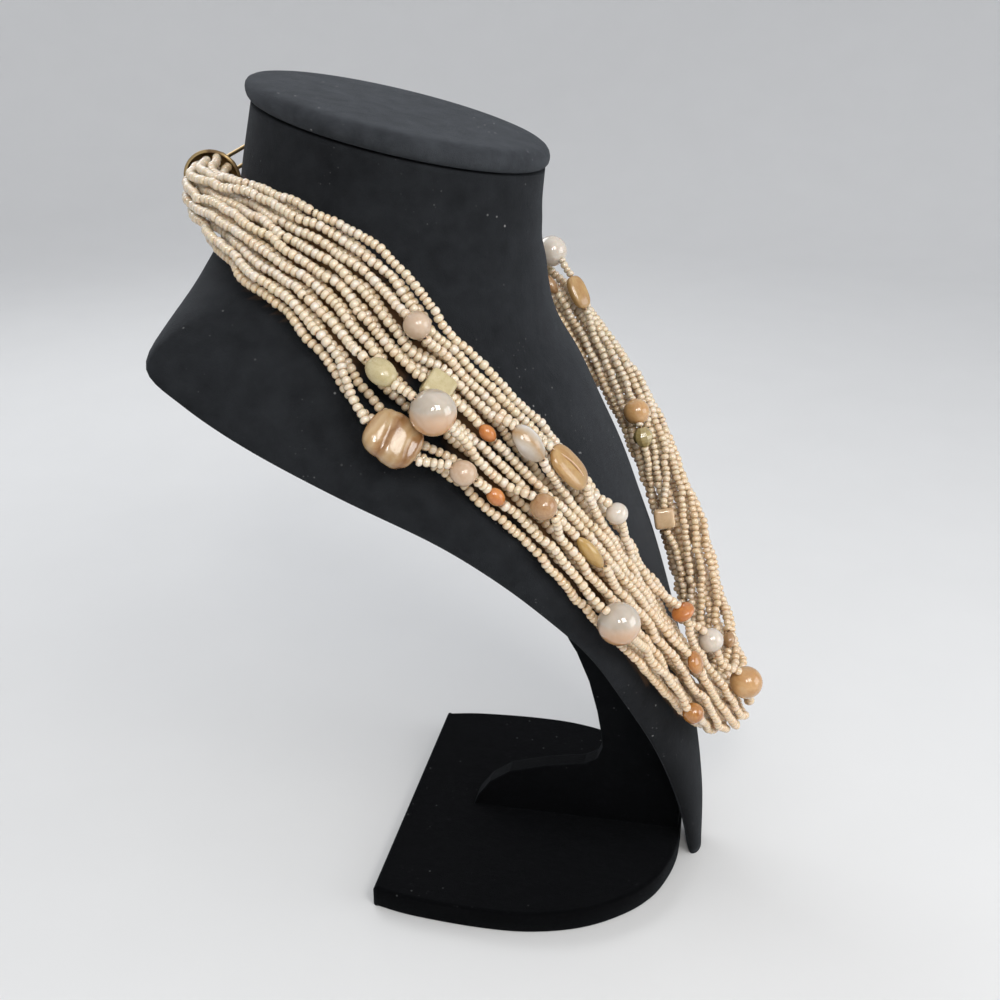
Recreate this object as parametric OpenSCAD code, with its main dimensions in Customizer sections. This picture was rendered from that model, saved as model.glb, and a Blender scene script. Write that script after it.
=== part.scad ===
// Multi strand bead necklace lying on a padded neck bust stand.
// Millimetres, +Z up, the bust faces -Y, its own left side is +X.
// The origin is on the resting plane, on the middle line of the stand.

/* [Neck bust] */

// Height of the padded form under the top pad, at the neck's axis
bust_h = 271; // [255:1:285]
// Width over both shoulders
shoulder_w = 183; // [172:1:192]
// Front to back depth of the padded form
bust_d = 178; // [170:1:186]
// Height of the pad that closes the neck
pad_h = 8; // [6:0.5:10]
// How far the pad's rounded edge stands out past the neck
pad_out = 1.6; // [0.8:0.2:2.4]

/* [Stand] */

// Thickness of the base plate
plate_h = 8.6; // [6:0.2:10]
// Width of the base plate
plate_w = 129; // [120:1:138]
// Thickness of the upright board under the form
board_w = 8; // [6:0.5:10]

/* [Necklace] */

// Diameter of a strand of seed beads
strand_d = 3.2; // [2.8:0.1:3.3]
// Diameter of the stringing thread
thread_d = 0.6; // [0.4:0.1:0.7]
// Diameter of the hole in the larger beads
bore_d = 1.2; // [1.1:0.1:1.5]
// Size of the larger beads against the table of beads
bead_scale = 1; // [0.9:0.02:1.03]
// Free space left at each end of a larger bead
bead_gap = 0.25; // [0.2:0.05:0.4]

/* [Fastening] */

// Inner diameter of a bell cap's mouth
cap_bore = 17.8; // [17.6:0.1:18.6]
// Wall of a bell cap
cap_wall = 0.9; // [0.7:0.1:1.2]
// Wire of the eyes and of the clasp
wire_d = 1.4; // [1.2:0.1:1.6]

/* [Node] */

// One sub-part by its name, or all of them

/* [Hidden] */

$fn = 48;

// Gap between pieces that touch on the real thing
gap = 0.4;

// Form: height, half width, centre, front depth, back depth, forward lean
height = 0;
half = 1;
mid = 2;
front = 3;
back = 4;
lean = 5;
form_rows = [
    [0, 7, -74, 3.3, 2, 0],
    [27, 16.5, -69.5, 6.5, 3, 0],
    [58, 28, -60.5, 10.5, 4, 0],
    [93, 46, -46.5, 15.5, 4, 0],
    [116, 60, -36.5, 17.5, 4, 0],
    [135, 70, -22, 25, 4, 0],
    [150, 78, -8, 33.5, 4, 0],
    [163, 84.5, 8, 44, 4, 0],
    [178, 89.5, 36, 66, 4, 0],
    [192, 91.5, 62, 86, 5, 0],
    [204, 91, 81, 98, 7, 0],
    [213, 88, 92, 105.5, 9, 0],
    [221, 79, 88, 100, 14, 0],
    [230, 65, 72, 83, 29, 0],
    [238, 54, 58, 67.7, 39.8, 0.02],
    [247, 46, 47, 56.7, 46.2, 0.06],
    [258, 42, 41, 50.7, 49.2, 0.15],
    [271, 41, 38.5, 49, 48, 0.227]
];
kx = shoulder_w / 183;
ky = bust_d / 178;
kz = bust_h / 271;
form = [for (r = form_rows) [r[height] * kz, r[half] * kx, r[mid] * ky, r[front] * ky, r[back] * ky, r[lean]]];

// Heights at which the form is drawn
form_steps = [0, 25, 50, 72, 93, 109, 123, 136, 147, 157, 166, 175, 184, 192, 200, 207, 213,
    219, 225, 231, 238, 246, 255, 263, 271];
form_sides = 24;

// Pad: height above the form, growth of the neck's outline
pad_rows = [
    [0.5, -2],
    [1.2, 0.2],
    [2.6, 1.2],
    [4.4, 1.6],
    [6, 1.2],
    [7.3, 0],
    [8, -2.4]
];

// Base plate: distance from the back edge, half width, both against the named sizes
plate_rows = [
    [0, 60],
    [15, 63],
    [40, 64.5],
    [60, 63],
    [78, 57],
    [92, 47],
    [101, 36],
    [106, 24],
    [108.5, 12],
    [109, 0]
];
plate_back = 40;

// Upright board, back edge from the plate up: height, y
board_rows = [
    [8.6, 14],
    [13, 12.4],
    [20, 7.6],
    [26, -0.5],
    [30.5, -15],
    [33.5, -30],
    [36.5, -35],
    [42, -37],
    [48, -36.4],
    [58, -34.5],
    [71, -31],
    [83, -26],
    [88, -23],
    [105, -15],
    [125, -4],
    [145, 6],
    [160, 12]
];

// Route of the bundle round the form: angle from the front, height, lift off the form,
// share of rope against flat ribbon, spread, turn of the rope, crown of the ribbon
angle = 0;
level = 1;
lift = 2;
rope = 3;
spread = 4;
turn = 5;
crown = 6;
route = [
    [-174, 249.5, 10.4, 1, 1, 0, 0],
    [-146, 246.5, 9.6, 0.9, 1.03, 0, 0],
    [-112, 242, 8.2, 0.4, 1.08, 0, 0],
    [-78, 234.5, 7, 0.05, 1.12, 0, 0],
    [-54, 220, 6.2, 0, 1.2, 0, -0.4],
    [-46, 199.5, 6, 0, 1.15, 0, -1.8],
    [-43, 174, 6, 0, 1.1, 0, -2.4],
    [-43, 147, 6.2, 0.04, 1.1, 0, -2.8],
    [-41, 117, 7.4, 0.28, 1.12, 0, -3.2],
    [-36, 88, 9.8, 0.7, 1.14, 8, -3],
    [-18, 68, 12.6, 1, 1.2, 50, 0],
    [18, 68, 13, 1, 1.2, 110, 0],
    [35, 88, 11.6, 1, 1.14, 165, 0],
    [39, 117, 11, 1, 1.12, 215, 0],
    [40, 147, 10.6, 1, 1.08, 275, 0],
    [41, 174, 10.2, 1, 1.06, 325, 0],
    [45, 199.5, 10, 1, 1.05, 370, 0],
    [56, 220, 10, 1, 1.04, 415, 0],
    [77, 235, 9.6, 1, 1.04, 460, 0],
    [107, 241.5, 9.6, 1, 1.05, 500, 0],
    [126, 246, 10, 1, 1.06, 530, 0],
    [138, 250.5, 10.6, 1, 1.05, 545, 0],
    [145, 252.5, 10.4, 1, 1, 555, 0]
];
last = len(route) - 1;

// Place of each strand: across and up in the flat ribbon, across and up in the rope
slots = [
    [-14.85, -1.66, -6.74, -0.21],
    [-12.86, 1.66, -5.89, 3.21],
    [-10.89, -1.66, -4.71, -4.82],
    [-8.91, 1.66, -3.53, -1.5],
    [-6.93, -1.66, -1.75, -6.55],
    [-4.94, 1.66, -3.53, 5.78],
    [-2.97, -1.66, -1.82, 2.68],
    [-0.98, 1.66, -0.11, 6.74],
    [0.98, -1.66, -0.43, -3.21],
    [2.97, 1.66, 1.71, 2.78],
    [4.94, -1.66, 2, -6.57],
    [6.93, 1.66, 3.32, -1.5],
    [8.91, -1.66, 4.92, -4.6],
    [10.89, 1.66, 3.42, 5.78],
    [12.86, -1.66, 6.74, -0.54],
    [14.85, 1.66, 5.99, 3.1]
];

// Larger beads: name, strand, place along the route, shape, length along the thread, width,
// thickness, how far it lifts its strand, how far it parts the others, direction of the lift,
// direction that its upper side faces, tint
title = 0;
strand = 1;
at = 2;
shape = 3;
long = 4;
wide = 5;
high = 6;
raise = 7;
part = 8;
push = 9;
face = 10;
tint = 11;
beads = [
    ["shell_bead", 1, 4.78, "oval", 18, 17, 6.5, 7.5, 0, 170, 95, "#d9b88c"],
    ["pink_nugget_bead", 1, 5.38, "oval", 9, 8.6, 7.5, 5, 0, 110, 100, "#f0d2c4"],
    ["orange_bead_2", 1, 5.74, "spindle", 7, 5, 5, 0, 0, 90, 90, "#dc9a62"],
    ["milky_bead_2", 1, 7.38, "round", 14, 14, 14, 8, 0.4, 135, 90, "#e6e0dc"],
    ["amber_bead", 1, 9, "round", 7.6, 7.6, 7.6, 4, 0, 150, 90, "#c98a45"],
    ["cream_oval_bead", 3, 4.37, "oval", 10.5, 8, 6.5, 4.5, 0, 90, 90, "#cfc9a4"],
    ["milky_bead_1", 3, 4.87, "round", 14, 14, 14, 10.9, 1.6, 88, 90, "#e6e0dc"],
    ["tan_bead", 3, 6.08, "round", 8.4, 8.4, 8.4, 6.5, 0, 90, 90, "#d7a678"],
    ["brown_bead", 4, 11.48, "spindle", 6.4, 4.6, 4.6, 2, 0, 35, 90, "#a87a50"],
    ["rice_bead", 5, 6.8, "spindle", 14.5, 5, 5, 1, 0.4, 90, 90, "#e2cf86"],
    ["cube_bead", 5, 13.1, "block", 8, 8, 8, 6, 1.2, -45, 0, "#e8dcc4"],
    ["square_tablet", 7, 4.82, "block", 9, 9, 4.4, 3, 3.2, 90, 90, "#d8caa0"],
    ["orange_bead_1", 7, 5.38, "spindle", 6.4, 4.6, 4.6, 0.5, 0, 90, 90, "#d8955a"],
    ["amber_nugget_bead", 7, 8.6, "oval", 9, 8.4, 4.6, 3, 0, 90, 90, "#cf9450"],
    ["striped_nugget_bead", 9, 5.68, "oval", 14, 8.8, 7.5, 8, 0.4, 90, 90, "#d6cdc0"],
    ["pearl_bead", 11, 4.24, "round", 8.6, 8.6, 8.6, 5.5, 0, 90, 90, "#efe2d2"],
    ["gold_disc_bead", 11, 6.12, "oval", 17, 11.5, 4.2, 8, 2, 90, 80, "#d8ad6c"],
    ["white_bead_1", 13, 6.84, "round", 7.3, 7.3, 7.3, 6, 0, 90, 90, "#eeeae4"],
    ["orange_disc_bead", 13, 8.2, "oval", 5, 8.4, 8.4, 4, 0, 80, 90, "#d9a36c"],
    ["faceted_bead", 13, 14, "faceted", 7.6, 7.6, 7.6, 7.5, 0, 0, 0, "#cfcf9c"],
    ["peach_bead_2", 13, 14.28, "round", 10.2, 10.2, 10.2, 3, 0, 0, 0, "#e4b692"],
    ["dark_bead", 14, 15.9, "spindle", 9.5, 4.8, 4.8, 0, 0, 0, 0, "#a98358"],
    ["grey_bead", 15, 8.8, "round", 8.8, 8.8, 8.8, 6, 0, 60, 90, "#dcdad6"],
    ["peach_bead_1", 15, 9.7, "round", 12, 12, 12, 8, 0, 60, 90, "#e2b088"],
    ["tan_disc_bead", 15, 15.64, "oval", 14, 8.4, 4.4, 4.5, 0, 25, 25, "#cfa97c"],
    ["white_bead_2", 15, 16.1, "round", 12, 12, 12, 7.5, 0, 45, 90, "#eeeae4"]
];

// Rings along every strand, in rows of the route, closer round the bottom
stations = [0, 0.5, 1, 1.5, 2, 2.5, 3, 3.5, 3.9, 4.3, 4.6, 4.85, 5.15, 5.4, 5.7, 6, 6.3, 6.55, 6.85,
    7.2, 7.6, 8, 8.3, 8.65, 9, 9.4, 9.8, 10.15, 10.5, 10.8, 11.15, 11.5, 11.9, 12.3, 12.7, 13.1, 13.5,
    13.9, 14.3, 14.8, 15.25, 15.65, 16.2, 16.8, 17.4, 18, 18.7, 19.5, 20.3, 21.1, last];

// Smooth curve through one column of rows whose first column rises
function row_of(t, rows) = max([for (k = [0 : len(rows) - 2]) if (k == 0 || t >= rows[k][0]) k]);
function slope(rows, k, c) =
    let (a = max(k - 1, 0), b = min(k + 1, len(rows) - 1))
    (rows[b][c] - rows[a][c]) / (rows[b][0] - rows[a][0]);
function ease(y0, y1, m0, m1, f) =
    (2 * f * f * f - 3 * f * f + 1) * y0 + (f * f * f - 2 * f * f + f) * m0
    + (3 * f * f - 2 * f * f * f) * y1 + (f * f * f - f * f) * m1;
function curve(t, rows, k, c) =
    let (h = rows[k + 1][0] - rows[k][0], f = (t - rows[k][0]) / h)
    ease(rows[k][c], rows[k + 1][c], slope(rows, k, c) * h, slope(rows, k + 1, c) * h, f);

// Smooth curve over the row number of the route
function route_slope(k, c) =
    (route[min(k + 1, last)][c] - route[max(k - 1, 0)][c]) / (k > 0 && k < last ? 2 : 1);
function along(u, c) =
    let (k = min(max(floor(u), 0), last - 1))
    ease(route[k][c], route[k + 1][c], route_slope(k, c), route_slope(k + 1, c), u - k);

// Point of the form at an angle from the front and a height, and its outward normal
function unit(v) = v / norm(v);
function section(z) =
    let (t = min(max(z, 0), bust_h), k = row_of(t, form))
    [t, curve(t, form, k, half), curve(t, form, k, mid), curve(t, form, k, front), curve(t, form, k, back),
        curve(t, form, k, lean)];
function on(s, a) =
    let (depth = cos(a) > 0 ? s[front] : s[back])
    [s[half] * sin(a), s[mid] - depth * cos(a), s[height] - s[lean] * depth * cos(a)];
function form_at(a, z) = on(section(z), a);
function normal(a, z) =
    unit(cross(form_at(a + 0.5, z) - form_at(a - 0.5, z), form_at(a, z + 0.3) - form_at(a, z - 0.3)));

// Middle of the bundle, its direction, outward and inward-up directions
function centre(u) =
    let (a = along(u, angle), z = along(u, level) * kz)
    form_at(a, z) + along(u, lift) * normal(a, z);
function frame(u) =
    let (
        t = unit(centre(min(u + 0.05, last)) - centre(max(u - 0.05, 0))),
        n0 = normal(along(u, angle), along(u, level) * kz),
        n = unit(n0 - (n0 * t) * t)
    )
    [centre(u), t, n, cross(n, t)];
function speed(u) = norm(centre(u + 0.05) - centre(u - 0.05)) * 10;

// Offset of a strand from the middle before the larger beads move it
function place(i, u) =
    let (
        f = along(u, rope),
        g = along(u, spread),
        w = along(u, turn),
        a = ((1 - f) * slots[i][0] + f * slots[i][2]) * g,
        b = ((1 - f) * slots[i][1] + f * slots[i][3]) * (1 + (g - 1) * f),
        x = a * cos(w) - b * sin(w),
        y = a * sin(w) + b * cos(w)
    )
    [x, y + along(u, crown) * (1 - f) * pow(x / 15, 2)];

// Each larger bead lifts its own strand and parts the others, the near ones most:
// [bead, mm per row, reach, place]
calm = 14;
bead_info = [for (b = beads) [b, speed(b[at]), b[long] * bead_scale / 2 + 6, place(b[strand], b[at])]];
function toward(a) = [cos(a), sin(a)];
function pull(q, u) = exp(-pow((u - q[0][at]) * q[1] / q[2], 2));
function shift(i, u, q) =
    let (b = q[0], e = toward(b[push]))
    b[strand] == i
        ? pull(q, u) * b[raise] * e
        : let (p = place(i, b[at]) - q[3], side = p[0] * e[1] - p[1] * e[0])
            pull(q, u) * b[part] * sign(side) * exp(-abs(side) / calm) * [e[1], -e[0]];
function total(list, k = 0, sum = [0, 0]) = k >= len(list) ? sum : total(list, k + 1, sum + list[k]);
function strand_at(i, u) =
    let (
        f = frame(u),
        near = [for (q = bead_info) if (abs(u - q[0][at]) * q[1] < 2 * q[2]) shift(i, u, q)],
        p = place(i, u) + total(near)
    )
    f[0] + p[0] * f[3] + p[1] * f[2];

// A larger bead's middle, direction and half span with its end gaps
function bead_seat(q) =
    let (
        b = q[0],
        span = (b[long] * bead_scale / 2 + bead_gap) / q[1],
        p = strand_at(b[strand], b[at] - span),
        r = strand_at(b[strand], b[at] + span)
    )
    [(p + r) / 2, unit(r - p), b[long] * bead_scale / 2 + bead_gap];
function bead_rings(q) =
    let (s = bead_seat(q), r = strand_d / 2, k = thread_d / 2)
    [
        [s[0] - (s[2] + 0.15) * s[1], s[1], r],
        [s[0] - s[2] * s[1], s[1], k],
        [s[0] + s[2] * s[1], s[1], k],
        [s[0] + (s[2] + 0.15) * s[1], s[1], r]
    ];
function plain_ring(i, u) =
    let (a = max(u - 0.06, 0), b = min(u + 0.06, last))
    [strand_at(i, u), unit(strand_at(i, b) - strand_at(i, a)), strand_d / 2];

// Rings of one strand in order, with its own larger beads let in
function clear_of(u, q) = abs(u - q[0][at]) * q[1] > q[0][long] * bead_scale / 2 + 3;
function strand_rings(i) =
    let (
        own = [for (q = bead_info) if (q[0][strand] == i) q],
        n = len(own)
    )
    [
        for (k = [0 : n])
            each concat(
                [
                    for (u = stations)
                        if (
                            (k == 0 || u > own[k - 1][0][at])
                            && (k == n || u <= own[k][0][at])
                            && (k == 0 || clear_of(u, own[k - 1]))
                            && (k == n || clear_of(u, own[k]))
                        )
                            plain_ring(i, u)
                ],
                k < n ? bead_rings(own[k]) : []
            )
    ];

// Closed solid through rings of points, all with the same number of points
module skin(rings) {
    n = len(rings[0]);
    m = len(rings);
    polyhedron(
        points = [for (r = rings) each r],
        faces = concat(
            [[for (k = [0 : n - 1]) k]],
            [for (j = [0 : m - 2]) for (k = [0 : n - 1]) [j * n + k, (j + 1) * n + k, (j + 1) * n + (k + 1) % n]],
            [for (j = [0 : m - 2]) for (k = [0 : n - 1]) [j * n + k, (j + 1) * n + (k + 1) % n, j * n + (k + 1) % n]],
            [[for (k = [n - 1 : -1 : 0]) (m - 1) * n + k]]
        ),
        convexity = 6
    );
}

module tube(rings, sides) {
    skin([
        for (g = rings)
            let (
                up = unit([g[0][0], g[0][1] - 45, 0]),
                x = unit(up - (up * g[1]) * g[1]),
                y = cross(g[1], x)
            )
            [for (k = [0 : sides - 1]) g[0] + g[2] * (cos(360 * k / sides) * x + sin(360 * k / sides) * y)]
    ]);
}

// Puts a piece's x, y and z axes along three directions at a point
module frame_at(p, x, y, z) {
    multmatrix([
        [x[0], y[0], z[0], p[0]],
        [x[1], y[1], z[1], p[1]],
        [x[2], y[2], z[2], p[2]],
        [0, 0, 0, 1]
    ])
        children();
}

module bust_form() {
    color("#1b1b1d")
        skin([for (z = form_steps) [for (k = [0 : form_sides - 1]) form_at(360 * k / form_sides, z * kz)]]);
}

module neck_pad() {
    top = form[len(form) - 1];
    rise = pad_h / 8;
    color("#202022")
        skin([
            for (r = pad_rows)
                let (
                    grow = r[1] * pad_out / 1.6,
                    s = [bust_h + r[0] * rise, top[half] + grow, top[mid], top[front] + grow, top[back] + grow, top[lean]]
                )
                [for (k = [0 : form_sides - 1]) on(s, 360 * k / form_sides)]
        ]);
}

module base_plate() {
    reach = plate_back * ky;
    side = [for (r = plate_rows) [r[1] * plate_w / 129, reach - r[0] * ky]];
    other = [for (k = [len(side) - 2 : -1 : 0]) [-side[k][0], side[k][1]]];
    color("#161617")
        linear_extrude(plate_h)
            polygon(concat(side, other));
}

function form_back(z) = let (s = section(z)) s[mid] + s[back] * cos(asin(min(1, board_w / 2 / s[half])));

module upright_board() {
    foot = plate_h + gap / 2;
    tops = [for (r = board_rows) [r[1] * ky, foot + (r[0] - 8.6) * kz]];
    n = len(tops);
    z_top = tops[n - 1][1];
    steps = 20;
    inner = [
        for (k = [steps : -1 : 0])
            let (z = foot + (z_top - foot) * k / steps)
            [max(form_back(z) + 2.6 * gap, (plate_back - 108) * ky), z]
    ];
    color("#19191a")
        rotate([90, 0, 90])
            translate([0, 0, -board_w / 2])
                linear_extrude(board_w)
                    polygon(concat(tops, [for (p = inner) if (p[0] < tops[n - 1][0] || p[1] < z_top) p]));
}

// Strands

module strand_tube(i) {
    color("#e9d6c0")
        tube(strand_rings(i), 8);
}

// Larger beads, the hole along z, their upper side to +y

module bored(length) {
    difference() {
        children();
        translate([0, 0, -length])
            cylinder(h = 2 * length, d = bore_d);
    }
}

module round_bead(b) {
    bored(b[long])
        sphere(d = b[long]);
}

module oval_bead(b) {
    bored(b[long])
        scale([b[wide], b[high], b[long]])
            sphere(d = 1);
}

module spindle_bead(b) {
    rim = b[wide] / 2 - 0.95;
    r = (b[long] * b[long] / 4 + rim * rim) / (2 * rim);
    bored(b[long])
        rotate_extrude()
            intersection() {
                translate([b[wide] / 2 - r, 0])
                    circle(r, $fn = 96);
                translate([0, -b[long] / 2])
                    square([b[wide], b[long]]);
            }
}

module block_bead(b) {
    reach = norm([b[long], b[wide], b[high]]) / 2;
    bored(b[long])
        intersection() {
            cube([b[wide], b[high], b[long]], center = true);
            sphere(reach * 0.88);
        }
}

module faceted_bead(b) {
    bored(b[long])
        rotate_extrude($fn = 10)
            polygon([
                [0, -b[long] / 2],
                [b[wide] * 0.24, -b[long] / 2],
                [b[wide] / 2, -b[long] * 0.14],
                [b[wide] / 2, b[long] * 0.14],
                [b[wide] * 0.24, b[long] / 2],
                [0, b[long] / 2]
            ]);
}

module bead(name) {
    q = [for (r = bead_info) if (r[0][title] == name) r][0];
    b = q[0];
    seat = bead_seat(q);
    f = frame(b[at]);
    h0 = cos(b[face]) * f[3] + sin(b[face]) * f[2];
    h = unit(h0 - (h0 * seat[1]) * seat[1]);
    color(b[tint])
        frame_at(seat[0], cross(h, seat[1]), h, seat[1])
            scale(bead_scale) {
                if (b[shape] == "round")
                    round_bead(b);
                if (b[shape] == "oval")
                    oval_bead(b);
                if (b[shape] == "spindle")
                    spindle_bead(b);
                if (b[shape] == "block")
                    block_bead(b);
                if (b[shape] == "faceted")
                    faceted_bead(b);
            }
}

// Fastening behind the neck

cap_depth = 7;
eye_r = 2.6;
eye_out = cap_depth + 1.2 + eye_r;

// Mouth of a cap: middle, away from the strands, outward, across
function mouth(u) =
    let (f = frame(u), s = u > 0 ? 1 : -1)
    [f[0] - s * 1.5 * f[1], s * f[1], f[2], f[3]];
function eye(u) = let (m = mouth(u)) m[0] + eye_out * m[1];

module bell_cap(u) {
    m = mouth(u);
    r = cap_bore / 2;
    w = cap_wall;
    color("#8a6a3a")
        frame_at(m[0], cross(m[3], m[1]), m[3], m[1]) {
            rotate_extrude()
                polygon([
                    [r, 0],
                    [r + w, 0],
                    [r + w, 1.2],
                    [r + w - 0.7, 3.2],
                    [r + w - 2.6, 5.2],
                    [r + w - 5.4, 6.8],
                    [2.2, cap_depth + w],
                    [0, cap_depth + w + 0.6],
                    [0, cap_depth - w],
                    [1.8, cap_depth - 0.6],
                    [r - 5.4, 6.1 - w],
                    [r - 2.8, 4.5 - w / 2],
                    [r - 0.9, 2.7],
                    [r, 1.2]
                ]);
            translate([0, 0, eye_out])
                rotate([90, 0, 0])
                    rotate_extrude()
                        translate([eye_r, 0])
                            circle(d = wire_d, $fn = 24);
        }
}

module clasp_link() {
    a = eye(0);
    b = eye(last);
    d = unit(b - a);
    w0 = mouth(0)[3] + mouth(last)[3];
    w = unit(w0 - (w0 * d) * d);
    r = 3.4;
    reach = norm(b - a) / 2 + 0.5 - r;
    turns = 8;
    arc = [for (k = [0 : turns]) [reach + r * sin(180 * k / turns), r * cos(180 * k / turns)]];
    loop = concat(arc, [for (p = arc) [-p[0], -p[1]]]);
    n = len(loop);
    color("#8a6a3a")
        frame_at((a + b) / 2, d, w, cross(d, w))
            ring_tube(loop, wire_d / 2, 6);
}

// Closed ring of wire through points in a plane
module ring_tube(loop, r, sides) {
    n = len(loop);
    rings = [
        for (k = [0 : n - 1])
            let (
                t = unit(loop[(k + 1) % n] - loop[(k + n - 1) % n]),
                e = [t[1], -t[0]]
            )
            [
                for (j = [0 : sides - 1])
                    [
                        loop[k][0] + r * cos(360 * j / sides) * e[0],
                        loop[k][1] + r * cos(360 * j / sides) * e[1],
                        r * sin(360 * j / sides)
                    ]
            ]
    ];
    polyhedron(
        points = [for (g = rings) each g],
        faces = [
            for (k = [0 : n - 1])
                for (j = [0 : sides - 1])
                    each [
                        [k * sides + j, k * sides + (j + 1) % sides, ((k + 1) % n) * sides + (j + 1) % sides],
                        [k * sides + j, ((k + 1) % n) * sides + (j + 1) % sides, ((k + 1) % n) * sides + j]
                    ]
        ],
        convexity = 6
    );
}

base_plate();
upright_board();
bust_form();
neck_pad();
strand_tube(0);  // strand_01
strand_tube(1);  // strand_02
strand_tube(2);  // strand_03
strand_tube(3);  // strand_04
strand_tube(4);  // strand_05
strand_tube(5);  // strand_06
strand_tube(6);  // strand_07
strand_tube(7);  // strand_08
strand_tube(8);  // strand_09
strand_tube(9);  // strand_10
strand_tube(10);  // strand_11
strand_tube(11);  // strand_12
strand_tube(12);  // strand_13
strand_tube(13);  // strand_14
strand_tube(14);  // strand_15
strand_tube(15);  // strand_16
bead("shell_bead");  // shell_bead
bead("pink_nugget_bead");  // pink_nugget_bead
bead("orange_bead_2");  // orange_bead_2
bead("amber_bead");  // amber_bead
bead("cream_oval_bead");  // cream_oval_bead
bead("milky_bead_1");  // milky_bead_1
bead("tan_bead");  // tan_bead
bead("milky_bead_2");  // milky_bead_2
bead("brown_bead");  // brown_bead
bead("rice_bead");  // rice_bead
bead("orange_bead_1");  // orange_bead_1
bead("amber_nugget_bead");  // amber_nugget_bead
bead("square_tablet");  // square_tablet
bead("striped_nugget_bead");  // striped_nugget_bead
bead("faceted_bead");  // faceted_bead
bead("pearl_bead");  // pearl_bead
bead("gold_disc_bead");  // gold_disc_bead
bead("white_bead_1");  // white_bead_1
bead("orange_disc_bead");  // orange_disc_bead
bead("peach_bead_1");  // peach_bead_1
bead("cube_bead");  // cube_bead
bead("dark_bead");  // dark_bead
bead("grey_bead");  // grey_bead
bead("peach_bead_2");  // peach_bead_2
bead("tan_disc_bead");  // tan_disc_bead
bead("white_bead_2");  // white_bead_2
bell_cap(0);  // bell_cap_near
bell_cap(last);  // bell_cap_far
clasp_link();
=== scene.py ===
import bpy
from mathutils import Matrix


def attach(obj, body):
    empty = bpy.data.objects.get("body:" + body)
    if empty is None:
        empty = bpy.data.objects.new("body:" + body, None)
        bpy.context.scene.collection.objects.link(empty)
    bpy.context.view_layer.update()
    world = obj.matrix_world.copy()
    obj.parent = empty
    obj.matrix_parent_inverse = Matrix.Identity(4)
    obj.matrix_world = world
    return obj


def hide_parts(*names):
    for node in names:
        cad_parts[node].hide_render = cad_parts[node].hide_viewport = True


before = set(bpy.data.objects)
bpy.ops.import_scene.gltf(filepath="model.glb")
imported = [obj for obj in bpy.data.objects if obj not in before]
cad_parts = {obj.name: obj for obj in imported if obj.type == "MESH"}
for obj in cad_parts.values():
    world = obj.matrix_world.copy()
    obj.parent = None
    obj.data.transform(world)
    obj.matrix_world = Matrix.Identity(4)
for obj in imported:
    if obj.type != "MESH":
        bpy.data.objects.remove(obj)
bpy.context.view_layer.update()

import math
from collections import namedtuple

import bmesh
import bpy
import numpy as np
from bpy.props import FloatProperty, FloatVectorProperty, IntProperty, PointerProperty
from mathutils import Vector
from mathutils.kdtree import KDTree

bl_info = {
    "name": "Beaded Necklace on Bust",
    "version": (1, 0, 0),
    "blender": (4, 5, 0),
    "location": "3D View > Sidebar > Necklace",
    "description": "Dresses a twisted necklace of seed beads and the velvet bust that holds it",
    "category": "Object",
}

MM = 0.001
TURN = 2 * math.pi

# Velvet form, millimetres: height, half width, centre, front depth, back depth, forward lean
HEIGHT, HALF, MID, FRONT, BACK, LEAN = range(6)
FORM = np.array([
    [0, 7, -74, 3.3, 2, 0],
    [27, 16.5, -69.5, 6.5, 3, 0],
    [58, 28, -60.5, 10.5, 4, 0],
    [93, 46, -46.5, 15.5, 4, 0],
    [116, 60, -36.5, 17.5, 4, 0],
    [135, 70, -22, 25, 4, 0],
    [150, 78, -8, 33.5, 4, 0],
    [163, 84.5, 8, 44, 4, 0],
    [178, 89.5, 36, 66, 4, 0],
    [192, 91.5, 62, 86, 5, 0],
    [204, 91, 81, 98, 7, 0],
    [213, 88, 92, 105.5, 9, 0],
    [221, 79, 88, 100, 14, 0],
    [230, 65, 72, 83, 29, 0],
    [238, 54, 58, 67.7, 39.8, 0.02],
    [247, 46, 47, 56.7, 46.2, 0.06],
    [258, 42, 41, 50.7, 49.2, 0.15],
    [271, 41, 38.5, 49, 48, 0.227],
])
TOP = FORM[-1]

# Neck pad: height above the form, growth of the neck's outline
PAD = [(0.5, -2.6), (0.8, -0.9), (1.4, 0.4), (2.4, 1.15), (3.6, 1.5), (4.6, 1.55), (5.8, 1.3), (6.8, 0.6),
       (7.5, -0.6), (7.9, -2.2), (8, -4.5)]

# Base plate: distance from the back edge, half width
PLATE = [(0, 60), (15, 63), (40, 64.5), (60, 63), (78, 57), (92, 47), (101, 36), (106, 24), (108.5, 12),
         (109, 0)]
PLATE_BACK, PLATE_FRONT, PLATE_HALF = 40, -69, 64.5

# Rounded rim of the plate: height, distance in from the outline
PLATE_RIM = [(0, 1.0), (0.3, 0.3), (1.0, 0), (7.5, 0), (8.2, 0.25), (8.5, 0.75), (8.6, 1.3)]

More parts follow.
